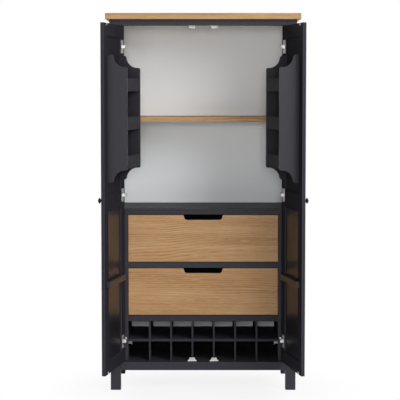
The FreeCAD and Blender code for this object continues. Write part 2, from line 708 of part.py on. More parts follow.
    # Rack on the upper half: two shaped sides, with a shelf and a retaining rail for each tier
    low_curve = "door_rack_drop"
    high_curve = "door_rack_height - door_rack_drop"
    rack_nose = "door_rack_depth - door_rack_corner"
    side_outline = [
        ("0", "0"), ("door_rack_shoulder", "0", "door_rack_convex", 1),
        ("door_rack_turn", "door_rack_turn_drop", "door_rack_concave", -1),
        ("door_rack_curve", low_curve),
        (rack_nose, low_curve, "door_rack_corner", 1),
        ("door_rack_depth", f"{low_curve} + door_rack_corner"),
        ("door_rack_depth", f"{high_curve} - door_rack_corner", "door_rack_corner", 1),
        (rack_nose, high_curve), ("door_rack_curve", high_curve, "door_rack_concave", -1),
        ("door_rack_turn", "door_rack_height - door_rack_turn_drop", "door_rack_convex", 1),
        ("door_rack_shoulder", "door_rack_height"), ("0", "door_rack_height"),
    ]
    rack_sides = []
    thickness = "door_rack_side_thickness"
    for name, start in (("near", f"rack_middle + door_rack_width / 2 - {thickness}"),
                        ("far", "rack_middle - door_rack_width / 2")):
        corner = (along(start, thickness), "door_inside", "door_rack_level")
        rack_side = f"{side}_door_rack_{name}_side"
        rack_sides.append(padded(rack_side, "YZ_Plane", side_outline, thickness, corner))
    hung("rack_sides", rack_sides)
    shelves = []
    rails = []
    tier_start = f"rack_middle - door_rack_width / 2 + {thickness}"
    tier_length = f"door_rack_width - 2 * {thickness}"
    for tier in range(DOOR_TIERS):
        level = f"door_rack_level + door_rack_first_tier + {tier} * door_rack_tier_pitch"
        shelf_depth = "door_rack_depth - door_rack_rail_thickness"
        shelves.append(board(f"rack_shelf_{tier + 1}", tier_start, tier_length, "door_inside", shelf_depth,
                             level, "door_rack_shelf_thickness"))
        rails.append(board(f"rack_rail_{tier + 1}", tier_start, tier_length, f"door_inside + {shelf_depth}",
                           "door_rack_rail_thickness", level, "door_rack_rail_height"))
    hung("rack_shelves", shelves)
    hung("rack_rails", rails)


door("left", 1)
door("right", -1)

# Every object has to come out whole before anything is written
doc.recompute()
for thing in doc.Objects:
    faults = [word for word in thing.State if word in ("Invalid", "Error")]
    if faults:
        raise RuntimeError(f"{thing.Label}: {faults}")
os.makedirs("parts", exist_ok=True)
for thing in pieces:
    if thing.Shape.isNull() or not thing.Shape.isValid():
        raise RuntimeError(f"{thing.Label}: its shape is empty or broken")
for thing in pieces:
    thing.Shape.exportStep(f"parts/{thing.Label}.step")
    size = thing.Shape.BoundBox
    print(f"{thing.Label}: {len(thing.Shape.Solids)} solid(s), "
          f"{size.XLength:.1f} x {size.YLength:.1f} x {size.ZLength:.1f} mm")
print(len(pieces), "sub-parts")
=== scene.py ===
import json
import math

import bmesh
import bpy
from mathutils import Matrix, Vector


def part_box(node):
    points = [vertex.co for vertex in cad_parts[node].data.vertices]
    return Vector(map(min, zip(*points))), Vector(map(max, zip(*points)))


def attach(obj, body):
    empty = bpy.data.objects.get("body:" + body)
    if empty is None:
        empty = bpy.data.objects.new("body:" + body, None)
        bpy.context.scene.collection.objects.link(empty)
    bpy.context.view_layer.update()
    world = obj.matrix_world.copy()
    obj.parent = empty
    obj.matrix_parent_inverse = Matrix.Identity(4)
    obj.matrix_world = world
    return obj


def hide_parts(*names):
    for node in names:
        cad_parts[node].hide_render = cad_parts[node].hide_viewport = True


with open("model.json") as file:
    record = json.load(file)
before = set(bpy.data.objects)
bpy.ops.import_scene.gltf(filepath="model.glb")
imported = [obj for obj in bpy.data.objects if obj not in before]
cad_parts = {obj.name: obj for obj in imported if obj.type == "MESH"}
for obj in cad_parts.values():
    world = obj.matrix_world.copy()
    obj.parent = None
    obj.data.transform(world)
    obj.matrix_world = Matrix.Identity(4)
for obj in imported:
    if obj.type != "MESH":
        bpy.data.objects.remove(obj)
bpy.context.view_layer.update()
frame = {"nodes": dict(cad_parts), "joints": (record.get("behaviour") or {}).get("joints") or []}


# Four square legs of solid wood run from the floor up to the top.
# They are sprayed with a satin charcoal paint, and their arrises are eased with sandpaper.
# The rear legs show inside the cabinet too, so they get their finish with the panels.
leg_arris = 0.0012
arris_steps = 2
sharp_from = math.radians(40)
flat_within = math.radians(0.5)
weld_reach = 0.00001
charcoal = (0.0365, 0.0350, 0.0430, 1)
charcoal_cloud = (0.0420, 0.0403, 0.0490, 1)
noise_middle = 0.5
cloud_waves = (7, 7, 7)
peel_waves = (420, 420, 420)
peel_depth = 0.00012
rub_waves = (26, 26, 26)
paint_swing = 0.14


class Wire:
    """One socket in a finish's nodes: sums with numbers or other wires add Math nodes."""

    def __init__(self, tree, socket=None):
        self.tree = tree
        self.socket = socket

    def node(self, kind, settings=None, values=None, out=0):
        """Adds any node: its settings come first, then the values or wires of its sockets."""
        made = self.tree.nodes.new("ShaderNode" + kind)
        for name, setting in (settings or {}).items():
            setattr(made, name, setting)
        for name, value in (values or {}).items():
            if isinstance(value, Wire):
                self.tree.links.new(value.socket, made.inputs[name])
            else:
                made.inputs[name].default_value = value
        return Wire(self.tree, made.outputs[out])

    def outs(self):
        """All the outputs of this wire's node."""
        return [Wire(self.tree, socket) for socket in self.socket.node.outputs]

    def maths(self, operation, first, second=0.0):
        """Adds one Math node."""
        return self.node("Math", {"operation": operation}, {0: first, 1: second})

    def __add__(self, other):
        return self.maths("ADD", self, other)

    def __radd__(self, other):
        return self.maths("ADD", other, self)

    def __sub__(self, other):
        return self.maths("SUBTRACT", self, other)

    def __rsub__(self, other):
        return self.maths("SUBTRACT", other, self)

    def __mul__(self, other):
        return self.maths("MULTIPLY", self, other)

    def __rmul__(self, other):
        return self.maths("MULTIPLY", other, self)

    def __truediv__(self, other):
        return self.maths("DIVIDE", self, other)

    def __rtruediv__(self, other):
        return self.maths("DIVIDE", other, self)

    def __gt__(self, other):
        return self.maths("GREATER_THAN", self, other)

    def __lt__(self, other):
        return self.maths("LESS_THAN", self, other)

    def __abs__(self):
        return self.maths("ABSOLUTE", self)

    def clamped(self):
        """This value kept between 0 and 1."""
        return self.node("Clamp", {}, {"Value": self})

    def between(self, low, high):
        """0 below low, 1 above high, and a smooth rise from one to the other."""
        sizes = {"Value": self, "From Min": low, "From Max": high}
        return self.node("MapRange", {"interpolation_type": "SMOOTHSTEP"}, sizes)

    def mix(self, factor, first, second):
        """A colour between two others, from the colour sockets of a Mix node."""
        settings = {"data_type": "RGBA", "blend_type": "MIX"}
        return self.node("Mix", settings, {0: factor, 6: first, 7: second}, out=2)

    def noise(self, waves, detail=2.0, roughness=0.5, shift=(0, 0, 0)):
        """Noise over this place, with so many waves to the metre along each axis."""
        placed = self.node("VectorMath", {"operation": "MULTIPLY_ADD"},
                           {0: self, 1: waves, 2: shift})
        return self.node("TexNoise", {}, {"Vector": placed, "Scale": 1.0, "Detail": detail,
                                          "Roughness": roughness})

    def swing(self, amount):
        """This noise as so much more or less about its middle."""
        return amount * (self - noise_middle)


def new_finish(name):
    """A new material, and the wire of the place on the piece, in metres."""
    material = bpy.data.materials.new(name)
    material.use_nodes = True
    return material, Wire(material.node_tree).node("TexCoord", out="Object")


def lay_on(material, values, relief, depth):
    """Sets or links the sockets of the material's surface, with a relief in metres."""
    tree = material.node_tree
    surface = tree.nodes["Principled BSDF"]
    bump = relief.node("Bump", {}, {"Strength": 1.0, "Distance": depth, "Height": relief})
    for name, value in {**values, "Normal": bump}.items():
        if isinstance(value, Wire):
            tree.links.new(value.socket, surface.inputs[name])
        else:
            surface.inputs[name].default_value = value
    return material


def satin_paint(name, roughness, sheen, colour=charcoal, cloud=charcoal_cloud):
    """Sprayed paint: a slightly cloudy colour, a fine orange peel and uneven sheen."""
    material, place = new_finish(name)
    cloudy = place.noise(cloud_waves, detail=3.0)
    peel = place.noise(peel_waves)
    rubbed = place.noise(rub_waves, detail=3.0, roughness=0.6)
    looks = {"Base Color": place.mix(cloudy, colour, cloud),
             "Roughness": roughness + rubbed.swing(paint_swing),
             "Specular IOR Level": sheen}
    return lay_on(material, looks, peel, peel_depth)


def dress(node, material, arris=0.0):
    """Gives a CAD piece its finish, and eases its sharp edges."""
    piece = frame["nodes"][node]
    piece.data.materials.clear()
    piece.data.materials.append(material)
    if arris:
        weld = piece.modifiers.new("weld", "WELD")
        weld.merge_threshold = weld_reach
        flat = piece.modifiers.new("flat_faces", "DECIMATE")
        flat.decimate_type = "DISSOLVE"
        flat.angle_limit = flat_within
        eased = piece.modifiers.new("eased_edges", "BEVEL")
        eased.width = arris
        eased.segments = arris_steps
        eased.limit_method = "ANGLE"
        eased.angle_limit = sharp_from


frame_paint = satin_paint("frame_paint", roughness=0.46, sheen=0.07)
for leg in ("front_left_leg", "front_right_leg"):
    dress(leg, frame_paint, leg_arris)


# Rails of solid wood tie the legs together at the front, the sides and the back.
# They are tenoned into the legs, and painted with them.
rail_arris = 0.0009
for rail in ("top_rail", "bottom_rail", "left_side_rails", "right_side_rails", "back_rails"):
    dress(rail, frame_paint, rail_arris)


# Thin panels close the sides and the back, held between the legs and behind the rails.
# Inside they have a smooth pale grey lacquer, and outside the charcoal paint of the frame.
# Beside and behind the drawers and the lower row of bottles the inside is painted near black and
# rougher, as painted shade.
lacquer = (0.770, 0.790, 0.803, 1)
lacquer_cloud = (0.800, 0.815, 0.830, 1)
# painted shade: near-black colour for the inside below the deck
painted_shade_board = (0.010, 0.0098, 0.0105, 1)
side_inside = 0.402
back_inside = 0.394
deck_level = 0.857
upper_cells = (0.232, 0.342)
panel_cloud_waves = (5, 5, 5)
panel_peel_waves = (380, 380, 380)
panel_peel_depth = 0.0001
panel_sheen = 0.07
panel_swing = 0.1
lacquer_roughness = 0.5
outside_smoother = 0.04
painted_shade_rougher = 0.4


def two_sided(name):
    """Pale lacquer inside, charcoal paint outside, and painted shade round drawers and bottles."""
    material, place = new_finish(name)
    across, deep, up = place.node("SeparateXYZ", {}, {0: place}).outs()
    outside = place.maths("MAXIMUM", abs(across) > side_inside, deep > back_inside)
    cells = (up > upper_cells[0]) * (up < upper_cells[1])
    # painted shade: dark rough board inside below the deck, except in the upper row of bottle cells
    painted_shade = (1 - outside) * (up < deck_level) * (1 - cells)
    cloudy = place.noise(panel_cloud_waves, detail=3.0)
    peel = place.noise(panel_peel_waves)
    pale = place.mix(cloudy, lacquer, lacquer_cloud)
    dark = place.mix(cloudy, charcoal, charcoal_cloud)
    roughness = lacquer_roughness - outside_smoother * outside + painted_shade_rougher * painted_shade
    looks = {"Base Color": place.mix(painted_shade, place.mix(outside, pale, dark), painted_shade_board),
             "Roughness": roughness + cloudy.swing(panel_swing),
             "Specular IOR Level": panel_sheen}
    return lay_on(material, looks, peel, panel_peel_depth)


panel_finish = two_sided("panel_finish")
for panel in ("left_side_panel", "right_side_panel", "back_panel"):
    dress(panel, panel_finish)
for leg in ("rear_left_leg", "rear_right_leg"):
    dress(leg, panel_finish, leg_arris)


# The floor, the deck above the drawers, the filler stiles beside them and the rail between them
# are painted boards, screwed to the sides from behind.
# The deck is wiped and stood on, so it has a darker and harder satin paint.
board_arris = 0.0010
satin_charcoal = (0.0205, 0.0195, 0.0250, 1)
satin_cloud = (0.0240, 0.0229, 0.0288, 1)
for board in ("floor_board", "left_filler_stile", "right_filler_stile", "drawer_rail"):
    dress(board, frame_paint, board_arris)
deck_paint = satin_paint("deck_paint", roughness=0.54, sheen=0.17,
                         colour=satin_charcoal, cloud=satin_cloud)
dress("deck_board", deck_paint, board_arris)


# The top is a board of solid oak, sawn with its grain along the width and oiled.
# It lies on the legs and rails, and is screwed up to them from below.
top_arris = 0.0016
oak_deep = (0.345, 0.180, 0.073, 1)
oak_mid = (0.425, 0.247, 0.112, 1)
oak_pale = (0.519, 0.337, 0.181, 1)
oak_pore = (0.1722, 0.0918, 0.0426, 1)
oak_red = (0.425, 0.204, 0.083, 1)
year_ring = 0.0095
early_rise = (0.0, 0.25)
early_fall = (0.3, 1.0)
early_middle = 0.36
wander_waves = (1.3, 3.0, 3.0)
wander_reach = 0.12
waver_waves = (3, 24, 24)
waver_reach = 0.004
streak_waves = (2.2, 75, 75)
streak_swing = 1.4
band_waves = (1.1, 15, 15)
band_swing = 1.1
red_waves = (2.0, 34, 34)
red_edge = (0.55, 0.72)
red_share = 0.45
pore_waves = (30, 900, 900)
pore_edge = (0.56, 0.68)
pore_share = 0.55
pores_in_late_wood = 0.2
fleck_waves = (13, 210, 210)
fleck_edge = (0.60, 0.74)
fleck_share = 0.5
clear_waves = (2.4, 9, 9)
clear_edge = (0.35, 0.7)
rings_at_least = 0.08
rings_where_clear = 0.4
oak_tone = 0.46
deep_to_mid = (0.0, 0.46)
mid_to_pale = (0.40, 0.95)
oak_roughness = 0.54
pore_rougher = 0.2
fleck_smoother = 0.06
oak_swing = 0.1
oak_sheen = 0.22
early_sunk = 0.25
pore_depth = 0.00018


def oak(name, heart, rise, shift):
    """Oiled oak along X: rings about the heart of the tree, streaks, pores and ray flecks."""
    material, place = new_finish(name)
    along, deep, up = place.node("SeparateXYZ", {}, {0: place}).outs()
    wander = place.noise(wander_waves, shift=shift)
    waver = place.noise(waver_waves, shift=shift)
    off_deep = deep - heart[0]
    off_up = up - heart[1] - rise * along + wander.swing(wander_reach)
    radius = place.maths("SQRT", off_deep * off_deep + off_up * off_up) + waver.swing(waver_reach)
    ring = place.maths("FRACT", radius / year_ring)
    early = ring.between(*early_rise) * (1 - ring.between(*early_fall))
    streak = place.noise(streak_waves, detail=4.0, roughness=0.62, shift=shift)
    band = place.noise(band_waves, shift=shift)
    red = place.noise(red_waves, shift=shift).between(*red_edge)
    pores = place.noise(pore_waves, detail=1.0, shift=shift).between(*pore_edge)
    pores = pores * (pores_in_late_wood + (1 - pores_in_late_wood) * early)
    flecks = place.noise(fleck_waves, detail=1.0, shift=shift).between(*fleck_edge)
    clear = place.noise(clear_waves, detail=1.0, shift=shift).between(*clear_edge)
    rings = (rings_at_least + rings_where_clear * clear) * (early_middle - early)
    tone = (oak_tone + streak.swing(streak_swing) + band.swing(band_swing) + rings).clamped()
    wood = place.mix(tone.between(*deep_to_mid), oak_deep, oak_mid)
    wood = place.mix(tone.between(*mid_to_pale), wood, oak_pale)
    wood = place.mix(red_share * red, wood, oak_red)
    wood = place.mix(fleck_share * flecks, wood, oak_pale)
    wood = place.mix(pore_share * pores, wood, oak_pore)
    roughness = oak_roughness + pore_rougher * pores - fleck_smoother * flecks
    looks = {"Base Color": wood,
             "Roughness": roughness + streak.swing(oak_swing),
             "Specular IOR Level": oak_sheen}
    return lay_on(material, looks, 1 - pores - early_sunk * early, pore_depth)


top_oak = oak("top_oak", heart=(0.26, 1.70), rise=0.03, shift=(3.1, 7.7, 1.3))
dress("top_board", top_oak, top_arris)


# One loose shelf of the same oiled oak as the top lies on four pegs.
# The pegs are turned from steel, zinc plated, and pushed into holes in the side panels.
shelf_arris = 0.0014
zinc = (0.52, 0.52, 0.53, 1)
zinc_dull = (0.40, 0.40, 0.41, 1)
plate_waves = (60, 60, 60)
plate_swing = 0.16
scratch_waves = (900, 900, 90)
scratch_swing = 0.1
scratch_depth = 0.00003


def plated(name, colour, dull, roughness):
    """Plated metal with faint rubbing marks and a cloudy sheen."""
    material, place = new_finish(name)
    cloudy = place.noise(plate_waves, detail=3.0, roughness=0.6)
    scratch = place.noise(scratch_waves, roughness=0.6)
    looks = {"Base Color": place.mix(cloudy, colour, dull),
             "Roughness": roughness + cloudy.swing(plate_swing) + scratch.swing(scratch_swing),
             "Metallic": 1.0}
    return lay_on(material, looks, scratch, scratch_depth)


shelf_oak = oak("shelf_oak", heart=(0.18, 1.21), rise=-0.02, shift=(8.2, 0.4, 5.9))
dress("shelf", shelf_oak, shelf_arris)
zinc_plate = plated("zinc_plate", zinc, zinc_dull, roughness=0.34)
dress("shelf_pegs", zinc_plate)


# Two drawers: each front is an oak board with a cut-out for the fingers, screwed to a box
# of plain planed wood, which slides on wooden runners.
front_arris = 0.0012
box_arris = 0.0008
plain_wood = (0.55, 0.415, 0.265, 1)
plain_wood_dark = (0.44, 0.315, 0.185, 1)
plain_tone = 0.5
grain_swing = 1.2
fibre_finer = 6
fibre_swing = 0.5
fibre_depth = 0.0001
plain_roughness = 0.6
plain_roughness_swing = 0.1
plain_sheen = 0.35


def planed_wood(name, waves):
    """Plain pale wood with a quiet straight grain."""
    material, place = new_finish(name)
    grain = place.noise(waves, detail=4.0, roughness=0.6)
    fibre = place.noise(tuple(fibre_finer * wave for wave in waves), roughness=0.6)
    tone = (plain_tone + grain.swing(grain_swing) + fibre.swing(fibre_swing)).clamped()
    looks = {"Base Color": place.mix(tone, plain_wood_dark, plain_wood),
             "Roughness": plain_roughness + fibre.swing(plain_roughness_swing),
             "Specular IOR Level": plain_sheen}
    return lay_on(material, looks, fibre, fibre_depth)


upper_oak = oak("upper_front_oak", heart=(0.065, 0.60), rise=0.055, shift=(0.9, 2.2, 8.4))
lower_oak = oak("lower_front_oak", heart=(0.070, 0.36), rise=-0.045, shift=(5.3, 6.6, 2.7))
box_side_wood = planed_wood("box_side_wood", waves=(60, 3, 60))
box_back_wood = planed_wood("box_back_wood", waves=(3, 60, 60))
for drawer, front_oak in (("upper_drawer", upper_oak), ("lower_drawer", lower_oak)):
    dress(drawer + "_front", front_oak, front_arris)
    dress(drawer + "_sides", box_side_wood, box_arris)
    dress(drawer + "_back", box_back_wood, box_arris)
    dress(drawer + "_bottom", box_back_wood)
dress("drawer_runners", box_side_wood, box_arris)


# The bottle rack stands in the foot of the cabinet: a head board, two ends, a shelf and
# six dividers, which are halved into each other and painted with a matt charcoal.
rack_arris = 0.0007
matt_roughness = 0.65
matt_sheen = 0.008
matt_paint = satin_paint("matt_paint", matt_roughness, matt_sheen)
for board in ("rack_top_board", "rack_ends", "rack_shelf", "rack_dividers"):
    dress(board, matt_paint, rack_arris)


# Each door is a painted frame of two stiles and three rails round two thin panels.
# A batten crosses the lower panel inside, and a rack of three tiers fills the upper half.
# The frame's paint is matt; the face that looks inward is painted darker as painted shade, with a
# clear satin coat on the lower panel there.
door_arris = 0.0009
# painted shade: very dark base under the clear coat on the inward face of the lower panel
shaded_coat_base = (0.0075, 0.0072, 0.0090, 1)
facing_least = 0.5
clear_coat = {"Coat IOR": 1.35, "Coat Roughness": 0.34}
sides = (("left_door", 1), ("right_door", -1))
joints = {joint["child"]: joint for joint in frame["joints"]}


def opened(door, hand, size=4):
    """The turn of a door from shut to where it stands open."""
    return Matrix.Rotation(hand * math.radians(joints[door]["range_deg"][0]), size, "Z")


def door_finish(name, inward, shaded_inner, shaded_inner_cloud, coated=False):
    """Matt charcoal paint with painted shade: darker on the face that looks inward, and clear coated
    there if asked.
    """
    material, place = new_finish(name)
    facing = place.node("TexCoord", out="Normal")
    towards = place.node("VectorMath", {"operation": "DOT_PRODUCT"}, {0: facing, 1: inward}, "Value")
    inside = towards > facing_least
    cloudy = place.noise(cloud_waves, detail=3.0)
    peel = place.noise(peel_waves)
    outer = place.mix(cloudy, charcoal, charcoal_cloud)
    # painted shade: the face that looks inward takes the darker colour
    looks = {"Base Color": place.mix(inside, outer, place.mix(cloudy, shaded_inner, shaded_inner_cloud)),
             "Roughness": matt_roughness + cloudy.swing(paint_swing),
             "Specular IOR Level": matt_sheen}
    if coated:
        looks |= {"Coat Weight": inside, **clear_coat}
    return lay_on(material, looks, peel, peel_depth)


door_paint = satin_paint("door_paint", roughness=0.34, sheen=0.26,
                         colour=satin_charcoal, cloud=satin_cloud)
rack_paint = satin_paint("rack_paint", roughness=0.65, sheen=0.03)
for door, hand in sides:
    inward = opened(door, hand, 3) @ Vector((0, 1, 0))
    leaf_paint = door_finish(door + "_frame_paint", inward, satin_charcoal, satin_cloud)
    panel_paint = door_finish(door + "_panel_paint", inward, shaded_coat_base, satin_charcoal, coated=True)
    for member in ("hinge_stile", "meeting_stile", "rails"):
        dress(f"{door}_{member}", leaf_paint, door_arris)
    for member in ("batten", "rack_sides"):
        dress(f"{door}_{member}", door_paint, door_arris)
    for member in ("rack_shelves", "rack_rails"):
        dress(f"{door}_{member}", rack_paint, door_arris)
    dress(door + "_upper_panel", leaf_paint)
    dress(door + "_lower_panel", panel_paint)


# Each door has a small turned metal knob, bolted through the meeting stile.
# It has a dark bronze finish, which hands have rubbed a little lighter in places.
bronze = (0.050, 0.046, 0.043, 1)
bronze_rubbed = (0.085, 0.078, 0.070, 1)
bronze_waves = (140, 140, 140)
bronze_roughness = 0.34
bronze_swing = 0.2
bronze_metal = 0.85
bronze_depth = 0.00003


def dark_bronze(name):
    """Dark bronze finish with lighter rubbed places."""
    material, place = new_finish(name)
    cloudy = place.noise(bronze_waves, detail=3.0, roughness=0.6)
    looks = {"Base Color": place.mix(cloudy, bronze, bronze_rubbed),
             "Roughness": bronze_roughness + cloudy.swing(bronze_swing),
             "Metallic": bronze_metal}
    return lay_on(material, looks, cloudy, bronze_depth)


knob_bronze = dark_bronze("knob_bronze")
for door, _ in sides:
    dress(door + "_knob", knob_bronze)


# Three concealed hinges a door: pressed steel cups let into the hinge stile, and bases on the
# front legs. The cups are bright nickel and the bases duller.
# Both are fixed with cross-head screws.
nickel = (0.66, 0.655, 0.645, 1)
nickel_dull = (0.56, 0.555, 0.545, 1)
base_nickel = (0.36, 0.36, 0.355, 1)
base_nickel_dull = (0.28, 0.28, 0.275, 1)
base_arris = 0.0004
base_half = 0.020
base_proud = 0.0115
base_screw = (0.0026, 0.0005)
base_screw_gap = 0.014
base_screw_back = 0.007
flange_face = 0.014
flange_screw_place = 0.034
flange_screw_gap = 0.024
flange_screw = (0.0038, 0.0012)
dome_shares = ((1.0, -0.3), (1.0, 0.35), (0.9, 0.75), (0.66, 1.0))
recess_long_share = 0.56
recess_half_share = 0.16
recess_foot_share = 0.8
recess_floor_share = 0.1
recess_turn = math.radians(20)

nickel_plate = plated("nickel_plate", nickel, nickel_dull, roughness=0.44)
base_plate = plated("base_plate", base_nickel, base_nickel_dull, roughness=0.5)
dress("hinge_arms", base_plate, base_arris)
base_low, base_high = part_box("hinge_arms")
leg_face = -base_low.x
hinge_middle = (base_low.z + base_high.z) / 2
hinge_levels = (base_low.z + base_half, hinge_middle, base_high.z - base_half)


def skirt(mesh, rows):
    """Closes the sides between rows of points that go round, and the two ends."""
    faces = [mesh.faces.new(rows[0][::-1]), mesh.faces.new(rows[-1])]
    for lower, upper in zip(rows, rows[1:]):
        for spot in range(len(lower)):
            after = (spot + 1) % len(lower)
            faces.append(mesh.faces.new((lower[spot], lower[after], upper[after], upper[spot])))
    return faces


def screw_head(mesh, place, radius, rise):
    """Adds a low domed screw head with a cross recess; place turns and moves it from the origin."""
    arm, half = recess_long_share * radius, recess_half_share * radius
    cross = []
    for quarter in range(4):
        turn = Matrix.Rotation(quarter * math.pi / 2, 2)
        cross += [turn @ Vector(corner) for corner in ((arm, -half), (arm, half), (half, half))]
    rings = [([corner.normalized() * radius * wide for corner in cross], tall)
             for wide, tall in dome_shares]
    rings += [(cross, 1.0), ([recess_foot_share * corner for corner in cross], recess_floor_share)]
    rows = [[mesh.verts.new(place @ Vector((*corner, tall * rise))) for corner in ring]
            for ring, tall in rings]
    skirt(mesh, rows)


def fitting(name, mesh, material, body):
    """Makes the finished mesh a piece that moves with its body."""
    bmesh.ops.recalc_face_normals(mesh, faces=mesh.faces)
    data = bpy.data.meshes.new(name)
    mesh.to_mesh(data)
    mesh.free()
    data.materials.append(material)
    piece = bpy.data.objects.new(name, data)
    bpy.context.scene.collection.objects.link(piece)
    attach(piece, body)
    return piece


def mirrored(hand):
    """The left side's place as it is, or mirrored to the right side."""
    return Matrix.Diagonal((hand, 1, 1, 1))


def door_place(door, hand):
    """From a shut door's own place, measured from its hinge line, to the open door."""
    line = Matrix.Translation((*joints[door]["pos_m"][:2], 0))
    return line @ opened(door, hand) @ mirrored(hand)


turned_recess = Matrix.Rotation(recess_turn, 4, "Z")
facing_back = Matrix.Rotation(math.radians(-90), 4, "X") @ turned_recess
facing_in = Matrix.Rotation(math.radians(90), 4, "Y") @ turned_recess
base_screws = bmesh.new()
for door, hand in sides:
    dress(door + "_hinge_cups", nickel_plate)
    flange_screws = bmesh.new()
    for level in hinge_levels:
        for up in (-1, 1):
            spot = (flange_screw_place, flange_face, level + up * flange_screw_gap)
            place = door_place(door, hand) @ Matrix.Translation(spot) @ facing_back
            screw_head(flange_screws, place, *flange_screw)
            spot = (base_proud - leg_face, base_high.y - base_screw_back, level + up * base_screw_gap)
            place = mirrored(hand) @ Matrix.Translation(spot) @ facing_in
            screw_head(base_screws, place, *base_screw)
    fitting(door + "_hinge_screws", flange_screws, nickel_plate, door)
fitting("hinge_base_screws", base_screws, nickel_plate, "carcass")


# On each hinge base sits a folded steel arm that stands well out from the leg, and a folded
# link on the door reaches from the cup towards it. Both are nickel plated.
# The lowest arms are short, because the filler stile is close behind them.
arm_half = 0.0078
arm_reach = 0.028
arm_start = 0.004
arm_short = 0.0015
arm_long = 0.034
arm_tail = 0.016
arm_corner = 0.0016
arm_arris = 0.0007
arm_let_in = 0.001
arm_screw = (0.0027, 0.0010)
plate_half = 0.0095
plate_proud = 0.003
plate_past_tail = 0.003
spacer_inset = 0.002
leg_let_in = 0.0005
link_near = 0.009
link_far = 0.0365
link_foot = 0.0135
link_head = 0.027
link_half = 0.0076
link_slope = 0.006


def pulled(mesh, outline, low, high, arris, place):
    """Adds a flat outline pulled from one level to another, with its edges eased."""
    rows = [[mesh.verts.new((*corner, level)) for corner in outline] for level in (low, high)]
    edges = list(dict.fromkeys(edge for face in skirt(mesh, rows) for edge in face.edges))
    for corner in rows[0] + rows[1]:
        corner.co = place @ corner.co
    bmesh.ops.bevel(mesh, geom=edges, offset=arris, segments=arris_steps, profile=0.5,
                    affect="EDGES", clamp_overlap=True)


def oblong(left, right, low, high):
    """The four corners of an upright oblong."""
    return [(left, low), (right, low), (right, high), (left, high)]


arms = bmesh.new()
front, back = base_high.y - arm_start, base_high.y
arm_foot = base_proud - arm_let_in
for _, hand in sides:
    on_leg = mirrored(hand) @ Matrix.Translation((-leg_face, 0, 0))
    for level in hinge_levels:
        short = level == hinge_levels[0]
        tail = back + (arm_short if short else arm_long)
        tail_rise = arm_reach - arm_corner if short else arm_tail
        outline = [(arm_foot, front), (arm_reach - arm_corner, front),
                   (arm_reach, front + arm_corner), (arm_reach, back - arm_corner),
                   (tail_rise, tail), (arm_foot, tail)]
        pulled(arms, outline, level - arm_half, level + arm_half, arm_arris, on_leg)
        if not short:
            start = back - arm_let_in
            spacer = oblong(-leg_let_in, base_proud, start, tail - plate_past_tail)
            spacer_half = arm_half - spacer_inset
            pulled(arms, spacer, level - spacer_half, level + spacer_half, arm_arris, on_leg)
            plate = oblong(-leg_let_in, plate_proud, start, tail + plate_past_tail)
            pulled(arms, plate, level - plate_half, level + plate_half, arm_arris, on_leg)
        spot = Matrix.Translation((arm_reach, (front + back) / 2, level))
        screw_head(arms, on_leg @ spot @ facing_in, *arm_screw)
fitting("hinge_arm_covers", arms, nickel_plate, "carcass")
for door, hand in sides:
    links = bmesh.new()
    outline = [(link_near, link_foot), (link_far, link_foot), (link_far, link_head - arm_corner),
               (link_far - arm_corner, link_head), (link_near + link_slope, link_head),
               (link_near, link_head - link_slope)]
    for level in hinge_levels:
        pulled(links, outline, level - link_half, level + link_half, arm_arris, door_place(door, hand))
    fitting(door + "_hinge_links", links, nickel_plate, door)


# Magnetic catches of moulded white plastic hold the doors shut, two under the top rail and two
# on the floor. Each has two steel poles in its face, and is screwed down through its ears.
# It pulls on a small zinc plated strike plate that is screwed to the door.
catch_white = (0.84, 0.84, 0.83, 1)
catch_shade = (0.77, 0.77, 0.75, 1)
catch_cloud_waves = (90, 90, 90)
catch_grain_waves = (1600, 1600, 1600)
catch_grain_depth = 0.00005
catch_roughness = 0.5
catch_swing = 0.1
catch_middle = 0.053
catch_foot = 0.0215
catch_arris = 0.0007
low_catch = {"tall": 0.0158, "foot": 0.0052, "body": 0.0134, "face": 0.0120}
high_catch = {"tall": 0.0128, "foot": 0.0016, "body": 0.0146, "face": 0.0140}
foot_upright_share = 0.5
foot_slope_share = 0.4
catch_screw = (0.0023, 0.0010)
pole_grey = (0.40, 0.40, 0.395, 1)
pole_grey_dull = (0.33, 0.33, 0.325, 1)
pole_half = 0.0105
pole_thick = 0.0028
pole_gap = 0.0022
pole_proud = 0.0009
pole_let_in = 0.001
thin_arris = 0.0003
strike_screw = (0.0026, 0.0004)
strike_place = 0.3345
strike_face = 0.0132
strike_half = 0.006


def moulded_plastic(name):
    """Matt moulded plastic with a fine spark-eroded grain."""
    material, place = new_finish(name)
    cloudy = place.noise(catch_cloud_waves)
    grain = place.noise(catch_grain_waves, detail=1.0)
    looks = {"Base Color": place.mix(cloudy, catch_white, catch_shade),
             "Roughness": catch_roughness + grain.swing(catch_swing)}
    return lay_on(material, looks, grain, catch_grain_depth)


